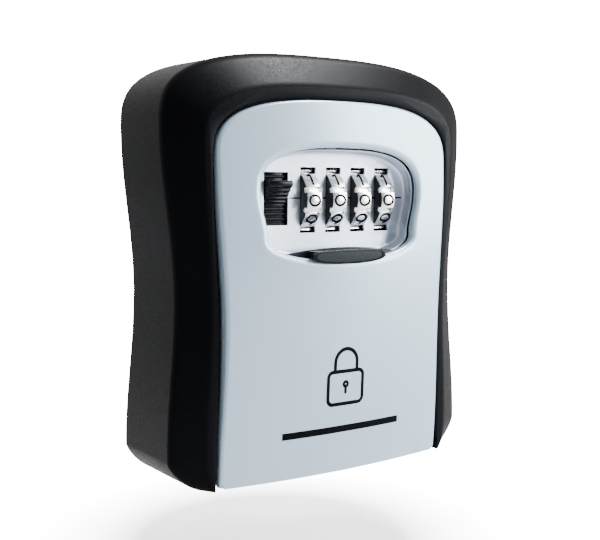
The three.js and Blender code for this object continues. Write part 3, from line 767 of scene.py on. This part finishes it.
def numerals(wheel, x):
    """The ten numerals wrapped round a wheel: 0 faces the front and 1 comes above it."""
    points, faces = [], []
    half_stroke, lift = 0.36, 0.03
    r = wheel_radius + lift
    for digit, strokes in STROKES.items():
        width, height = (3.5, 2.9) if digit == 0 else (5.6, 3.9)
        middle = math.pi - digit * pad_step
        for stroke in strokes:
            start = len(points)
            line = divided([(u * width, v * height) for u, v in stroke], 0.4)
            for pair in ribbon(line, half_stroke):
                for u, v in pair:
                    a = middle - v / wheel_radius
                    points.append((x + u, wheel_y + r * math.cos(a), wheel_z + r * math.sin(a)))
            faces += strip_faces(start, len(points))
    obj = mesh_object(f"numerals_{wheel}", points, faces)
    wear(obj, "print")
    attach(obj, f"wheel_{wheel}")


def wheel_edge():
    """Depth and angle round a wheel: ten pads with a gap between each two."""
    pad = [(0.0, share * 0.365) for share in np.linspace(-1, 1, 9)]
    gap = [(0.1, 0.375), (1.0, 0.385), (1.2, 0.41)]
    gap += [(depth, 1 - share) for depth, share in gap[::-1]]
    return [(depth, math.pi + (i + share) * pad_step) for i in range(10) for depth, share in pad + gap]


def make_wheel(index):
    """A chromed wheel of ten pads between dark side discs, its hub and its numerals."""
    low, high = mm_box(f"number_wheel_{index}")
    x0, x1 = low[0], low[0] + wheel_width
    edge = wheel_edge()
    soft_side = [(0.3, 0), (0.08, 0.08), (0, 0.25)]
    profile = soft_side + [(inset, wheel_width - x) for inset, x in soft_side[::-1]]
    rings = []
    for inset, x in profile:
        points = []
        for depth, a in edge:
            r = wheel_radius - depth - inset
            points.append((x0 + x, wheel_y + r * math.cos(a), wheel_z + r * math.sin(a)))
        rings.append(np.array(points))
    disc = loft("disc", rings, angle=30)
    hub = rod("hub", 2.2, (x1 - 1, wheel_y, wheel_z), (high[0], wheel_y, wheel_z), 40, 0.2)
    obj = merged(f"number_wheel_{index}_fine", [disc, hub])
    smooth(obj, 30)
    wear(obj, "wheel_chrome", "wheel_side")
    for face in obj.data.polygons:
        side_disc = len(face.vertices) > 50
        face.material_index = int(side_disc)
    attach(obj, f"wheel_{index}")
    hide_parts(f"number_wheel_{index}")
    numerals(index, (x0 + x1) / 2)


# ---------------------------------------------------------------- button, shutter


def nose_profile():
    """The thumb slide seen from its side: a ribbed ramp that rises to a nose near its top."""
    low_z, high_z, back_y = 17.4, 24.4, -26.9
    rib_height, rib_steps = 0.17, 12
    points = [(back_y, low_z)]
    for i, (y, z) in enumerate(bend((-27.7, low_z), (-28.9, 19.6), (-31.3, 22.7), 60)):
        points.append((y + rib_height * (1 - math.cos(2 * math.pi * i / rib_steps)), z))
    points += [tuple(p) for p in bend((-31.55, 22.9), (-31.85, high_z), (-30.9, high_z), 8)]
    points.append((back_y, high_z))
    return points


def make_button():
    """The thumb slide: the ribbed nose on a backing plate with ribs below and above it."""
    low, high = mm_box("open_button")
    nose = nose_profile()
    middle, half = (low[0] + high[0]) / 2, 3.75
    base_y = -27.6  # what lies in front of this narrows towards the sides
    soft_side = [(0.35, -half), (0.1, 0.12 - half), (0, 0.4 - half)]
    stations = soft_side + [(inset, -x) for inset, x in soft_side[::-1]]
    rings = [np.array([(middle + x, y + inset * (y < base_y), z) for y, z in nose]) for inset, x in stations]
    body = loft("nose", rings, angle=60)
    backing = soften(block("backing", (low[0], high[0]), (-27.2, -26.1), (low[2], high[2])), 0.25)
    rib_x, rib_y = (low[0] + 0.8, high[0] - 0.8), -26.95
    rib_zs = [*np.arange(10.6, 17.2, 1.45), 25.4, 26.9, 28.4]
    ribs = [rod("rib", 0.5, (rib_x[0], rib_y, z), (rib_x[1], rib_y, z), 20, 0.15) for z in rib_zs]
    obj = merged("open_button_fine", [body, backing, *ribs])
    smooth(obj, 40)
    stands_for(obj, "button_black", "latch", "open_button")


def make_shutter_plate():
    """The sliding plate: curved as the door's front and arched along its top."""
    low, high = mm_box("shutter_plate")
    half, bottom, top, arch_drop, thick = high[0], low[2], high[2], 3.4, 0.8
    across = np.linspace(-half, half, 80)
    arch = top - arch_drop * (across / half) ** 2
    shares = np.concatenate(([0.0], np.linspace(0.02, 0.98, 8), [1.0]))
    y = slide_y(1.5)(across, 0)
    front = np.array([np.column_stack((across, y, bottom + (arch - bottom) * share)) for share in shares])
    back = front + (0, thick, 0)
    points = np.concatenate((front.reshape(-1, 3), back.reshape(-1, 3)))
    columns, rows = len(across), len(shares)
    size = rows * columns
    faces = []
    for r in range(rows - 1):
        for i in range(columns - 1):
            a = r * columns + i
            b = a + columns
            faces.append((a, a + 1, b + 1, b))
            faces.append((size + a, size + b, size + b + 1, size + a + 1))
    border = list(range(columns))
    border += [r * columns + columns - 1 for r in range(1, rows)]
    border += list(range(size - 2, size - columns - 1, -1))
    border += [r * columns for r in range(rows - 2, 0, -1)]
    for a, b in zip(border, border[1:] + border[:1]):
        faces.append((b, a, size + a, size + b))
    plate = mesh_object("shutter_plate_fine", points, faces)
    outward(plate)
    stands_for(plate, "shutter_slate", "shutter", "shutter_plate")


def make_shutter_tab():
    """The lip that the thumb lifts, hollowed for its inlay, on a stem in front of the plate."""
    low, high = mm_box("shutter_tab")
    face_y, half = low[1], high[0]
    back_y = face_y + 0.6

    def lips(profile, squeeze):
        outlines = [(lens(half - d, low[2] + d * squeeze, high[2] - d * squeeze), y) for d, y in profile]
        return [ring(points, y) for points, y in outlines]

    edge = bend((0, back_y), (0, face_y), (0.7, face_y), 6)
    hollow = bend((1.3, face_y), (1.4, face_y + 0.25), (1.9, face_y + 0.25), 3)
    lip = loft("lip", lips(edge, 0.6) + lips(hollow, 0.3), angle=50)
    stem = block("stem", (-12.3, 12.3), (back_y - 0.1, high[1]), (3.3, 4.8))
    tab = merged("shutter_tab_fine", [lip, stem])
    smooth(tab, 50)
    stands_for(tab, "tab_navy", "shutter", "shutter_tab")

    pad = bend((1.6, face_y + 0.24), (1.65, face_y + 0.05), (2.1, face_y + 0.05), 4)
    inlay = loft("tab_inlay_fine", lips(pad, 0.3), angle=50)
    stands_for(inlay, "inlay_slate", "shutter", "tab_inlay")


# ---------------------------------------------------------------- printed marks


def on_door(name, points_2d, faces):
    """Flat print on the door's crown."""
    points = [(x, front_y(x, z) - 0.03, z) for x, z in points_2d]
    obj = mesh_object(name, points, faces)
    wear(obj, "print")
    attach(obj, "door")


def band(strokes, half_width):
    """Points and faces of flat strokes."""
    points, faces = [], []
    for stroke in strokes:
        start = len(points)
        for left, right in ribbon(divided(stroke), half_width):
            points += [tuple(left), tuple(right)]
        faces += strip_faces(start, len(points))
    return points, faces


def make_print():
    """A plain padlock sign and a plain line below it."""
    base_z, half, height, corner = -39.5, 6.2, 9.5, 1.6
    side, low_z, high_z = half - corner, base_z + corner, base_z + height - corner
    body = []
    for x, z, start in ((side, low_z, -90), (side, high_z, 0), (-side, high_z, 90), (-side, low_z, 180)):
        body += arc((x, z), corner, start, start + 90, 8)
    body.append(body[0])
    bow, leg = 3.9, 2.6  # radius of the shackle, and how far its straight legs rise
    top_z = base_z + height
    shackle = [(bow, top_z), *arc((0, top_z + leg), bow, 0, 180, 24), (-bow, top_z)]
    on_door("printed_padlock", *band([body, shackle], 0.55))
    keyhole = [arc((0, base_z + 5.7), 0.7, 0, 360, 20), [(0, base_z + 5.6), (0, base_z + 2.9)]]
    on_door("printed_keyhole", *band(keyhole, 0.45))
    line = [(x, -46.9) for x in np.linspace(-21, 21, 40)]
    on_door("printed_line", *band([line], 1.0))


# ---------------------------------------------------------------- inner pieces


def make_screw(node):
    """A pan-head screw with a cross recess, its head towards +Y."""
    low, high = mm_box(node)
    x, z = (low[0] + high[0]) / 2, (low[2] + high[2]) / 2
    head_radius = (high[0] - low[0]) / 2
    head_front = high[1] - (1.2 if head_radius > 2 else 1.0)
    core, crest, pitch, tip = 0.7, 0.9, 0.5, 0.8
    profile = [(0.2, low[1]), (0.75, low[1] + tip)]
    for y in np.arange(low[1] + tip, head_front - pitch, pitch):
        profile += [(crest, y + 0.15), (core, y + 0.4)]
    profile += [(crest, head_front), (head_radius - 0.1, head_front), (head_radius, head_front + 0.1)]
    dome = bend((head_radius, high[1] - 0.45), (head_radius * 0.9, high[1]), (0.2, high[1]), 6)
    profile += [tuple(p) for p in dome]
    turns = np.linspace(0, 2 * np.pi, 40, endpoint=False)
    circle = np.column_stack((np.cos(turns), np.sin(turns)))
    obj = loft(f"{node}_fine", [ring((x, z) + r * circle, y) for r, y in profile], angle=40)
    arm, half = head_radius * 0.62, 0.26
    for across, upright in ((arm, half), (half, arm)):
        xs, zs = (x - across, x + across), (z - upright, z + upright)
        carve(obj, block("cross", xs, (high[1] - 0.55, high[1] + 1), zs), angle=40)
    stands_for(obj, "screw_steel", nodes[node]["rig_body"], node)


def make_pin(node, radius_mm):
    low, high = mm_box(node)
    y, z = (low[1] + high[1]) / 2, (low[2] + high[2]) / 2
    obj = rod(f"{node}_fine", radius_mm, (low[0], y, z), (high[0], y, z), 40, 0.2)
    stands_for(obj, "zinc_steel", nodes[node]["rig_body"], node)


def make_latch_spring():
    """The coil under the latch plate."""
    low, high = mm_box("latch_spring")
    x, y = (low[0] + high[0]) / 2, (low[1] + high[1]) / 2
    wire, turns, travel = 0.28, 5, 5.0
    coil = (high[0] - low[0]) / 2 - wire
    round_wire = np.linspace(0, 2 * np.pi, 10, endpoint=False)
    rings = []
    for t in np.linspace(0, 1, turns * 24 + 1):
        a = 2 * np.pi * turns * t
        z = low[2] + wire + t * (high[2] - low[2] - 2 * wire)
        reach = coil + wire * np.cos(round_wire)
        height = z + wire * np.sin(round_wire)
        rings.append(np.column_stack((x + reach * np.cos(a), y + reach * np.sin(a), height)))
    spring = loft("latch_spring_fine", rings, angle=60)
    stands_for(spring, "spring_steel", "door", "latch_spring")
    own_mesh(spring)


def dress_cad_nodes():
    """Every CAD node that still shows gets its slot's material, and the listed ones softened edges."""
    slots = {s["node"]: s["material_slot"] for s in frame["record"]["subparts"]}
    softened = {"lock_housing", "lock_cover", "latch_plate", "fence_comb", "strike_plate", "reset_slider"}
    for name, obj in nodes.items():
        if obj.hide_render:
            continue
        obj.data.materials.clear()
        obj.data.materials.append(looks[slots[name]])
        if name in softened:
            edge = obj.modifiers.new("edge", "BEVEL")
            edge.width = 0.15 * MM
            edge.segments = 2
            edge.limit_method = "ANGLE"
            edge.angle_limit = math.radians(40)


# ---------------------------------------------------------------- studio


def make_ground():
    """A white ground with a painted soft shadow under the box, low enough to clear the open door."""
    ground_z = -0.09
    bpy.ops.mesh.primitive_plane_add(size=6, location=(0, 0, ground_z))
    floor = bpy.context.object
    floor.name = "studio_floor"
    look = Look("studio_floor", (0.6, 0.6, 0.61), 0.7)
    look.tint(look.noise(3, 2), 0.99, 1.01)
    seen = look.node("ShaderNodeLightPath").outputs["Is Camera Ray"]
    # the ground's glow is dimmed close under the box: a painted shadow
    shade = look.node("ShaderNodeVectorMath", operation="DISTANCE")
    look.link(look.node("ShaderNodeNewGeometry").outputs["Position"], shade.inputs[0])
    shade.inputs[1].default_value = (0.0, 0.0, ground_z)
    glow = look.node("ShaderNodeMath", operation="MULTIPLY")
    look.link(seen, glow.inputs[0])
    look.link(look.span(shade.outputs["Value"], 2.1, 22, 0.042, 0.095), glow.inputs[1])
    look.shader.inputs["Emission Color"].default_value = (1, 1, 1, 1)
    look.link(glow.outputs["Value"], look.shader.inputs["Emission Strength"])
    floor.data.materials.append(look.material)


def make_studio():
    """The ground, a room that is darker on the camera's side, and three soft boxes."""
    make_ground()
    make_room()
    soft_box("key", (0.62, -0.46, 0.24), 0.55, 15)
    soft_box("above", (0.30, -0.10, 0.60), 0.12, 8)
    soft_box("left", (-0.75, 0.55, 0.45), 0.7, 2)


def make_room():
    """A white surround, brighter above and behind the box, and plain white where the camera sees it."""
    world = bpy.data.worlds.new("studio")
    bpy.context.scene.world = world
    world.use_nodes = True
    tree = world.node_tree
    background = tree.nodes["Background"]
    background.inputs["Color"].default_value = (1, 1, 1, 1)
    direction = tree.nodes.new("ShaderNodeTexCoord").outputs["Generated"]
    behind = tree.nodes.new("ShaderNodeVectorMath")
    behind.operation = "DOT_PRODUCT"
    behind.inputs[1].default_value = (0.10, 0.45, 0.89)
    spread = tree.nodes.new("ShaderNodeMapRange")
    for key, value in (("From Min", -0.9), ("From Max", 1.0), ("To Min", 0.03), ("To Max", 1.1)):
        spread.inputs[key].default_value = value
    seen = tree.nodes.new("ShaderNodeLightPath").outputs["Is Camera Ray"]
    pick = tree.nodes.new("ShaderNodeMix")
    pick.inputs["B"].default_value = 22
    tree.links.new(direction, behind.inputs[0])
    tree.links.new(behind.outputs["Value"], spread.inputs["Value"])
    tree.links.new(seen, pick.inputs["Factor"])
    tree.links.new(spread.outputs["Result"], pick.inputs["A"])
    tree.links.new(pick.outputs["Result"], background.inputs["Strength"])


def soft_box(name, place, size, power):
    """A square light that faces the object's middle."""
    data = bpy.data.lights.new(name, "AREA")
    data.shape = "SQUARE"
    data.size = size
    data.energy = power
    obj = bpy.data.objects.new(name, data)
    bpy.context.scene.collection.objects.link(obj)
    obj.location = place
    obj.rotation_euler = (-Vector(place)).to_track_quat("-Z", "Y").to_euler()


def make_camera():
    """From the left of the box, slightly above its middle."""
    data = bpy.data.cameras.new("camera")
    data.sensor_width = 36
    data.lens = 61.46
    camera = bpy.data.objects.new("camera", data)
    bpy.context.scene.collection.objects.link(camera)
    yaw, pitch, roll = (math.radians(a) for a in (35.4, 5.213, 0.51))
    forward = Vector((math.sin(yaw) * math.cos(pitch), math.cos(yaw) * math.cos(pitch), -math.sin(pitch)))
    right = forward.cross(Vector((0, 0, 1))).normalized()
    up = right.cross(forward)
    turned_right = right * math.cos(roll) + up * math.sin(roll)
    turned_up = up * math.cos(roll) - right * math.sin(roll)
    turn = Matrix((turned_right, turned_up, -forward)).transposed()
    place = Vector((-0.17926, -0.26552, 0.02549))
    camera.matrix_world = Matrix.Translation(place) @ turn.to_4x4()
    bpy.context.scene.camera = camera


make_camera()
make_studio()
make_case()
make_door()
make_bezel()
make_index_line()
for wheel_number in range(1, 5):
    make_wheel(wheel_number)
make_button()
make_shutter_plate()
make_shutter_tab()
make_print()
for group, count in (("strike_screw", 2), ("door_screw", 4), ("cover_screw", 4)):
    for number in range(1, count + 1):
        make_screw(f"{group}_{number}")
make_pin("hinge_pin_left", 1.2)
make_pin("hinge_pin_right", 1.2)
make_pin("dial_shaft", 1.5)
make_latch_spring()
dress_cad_nodes()
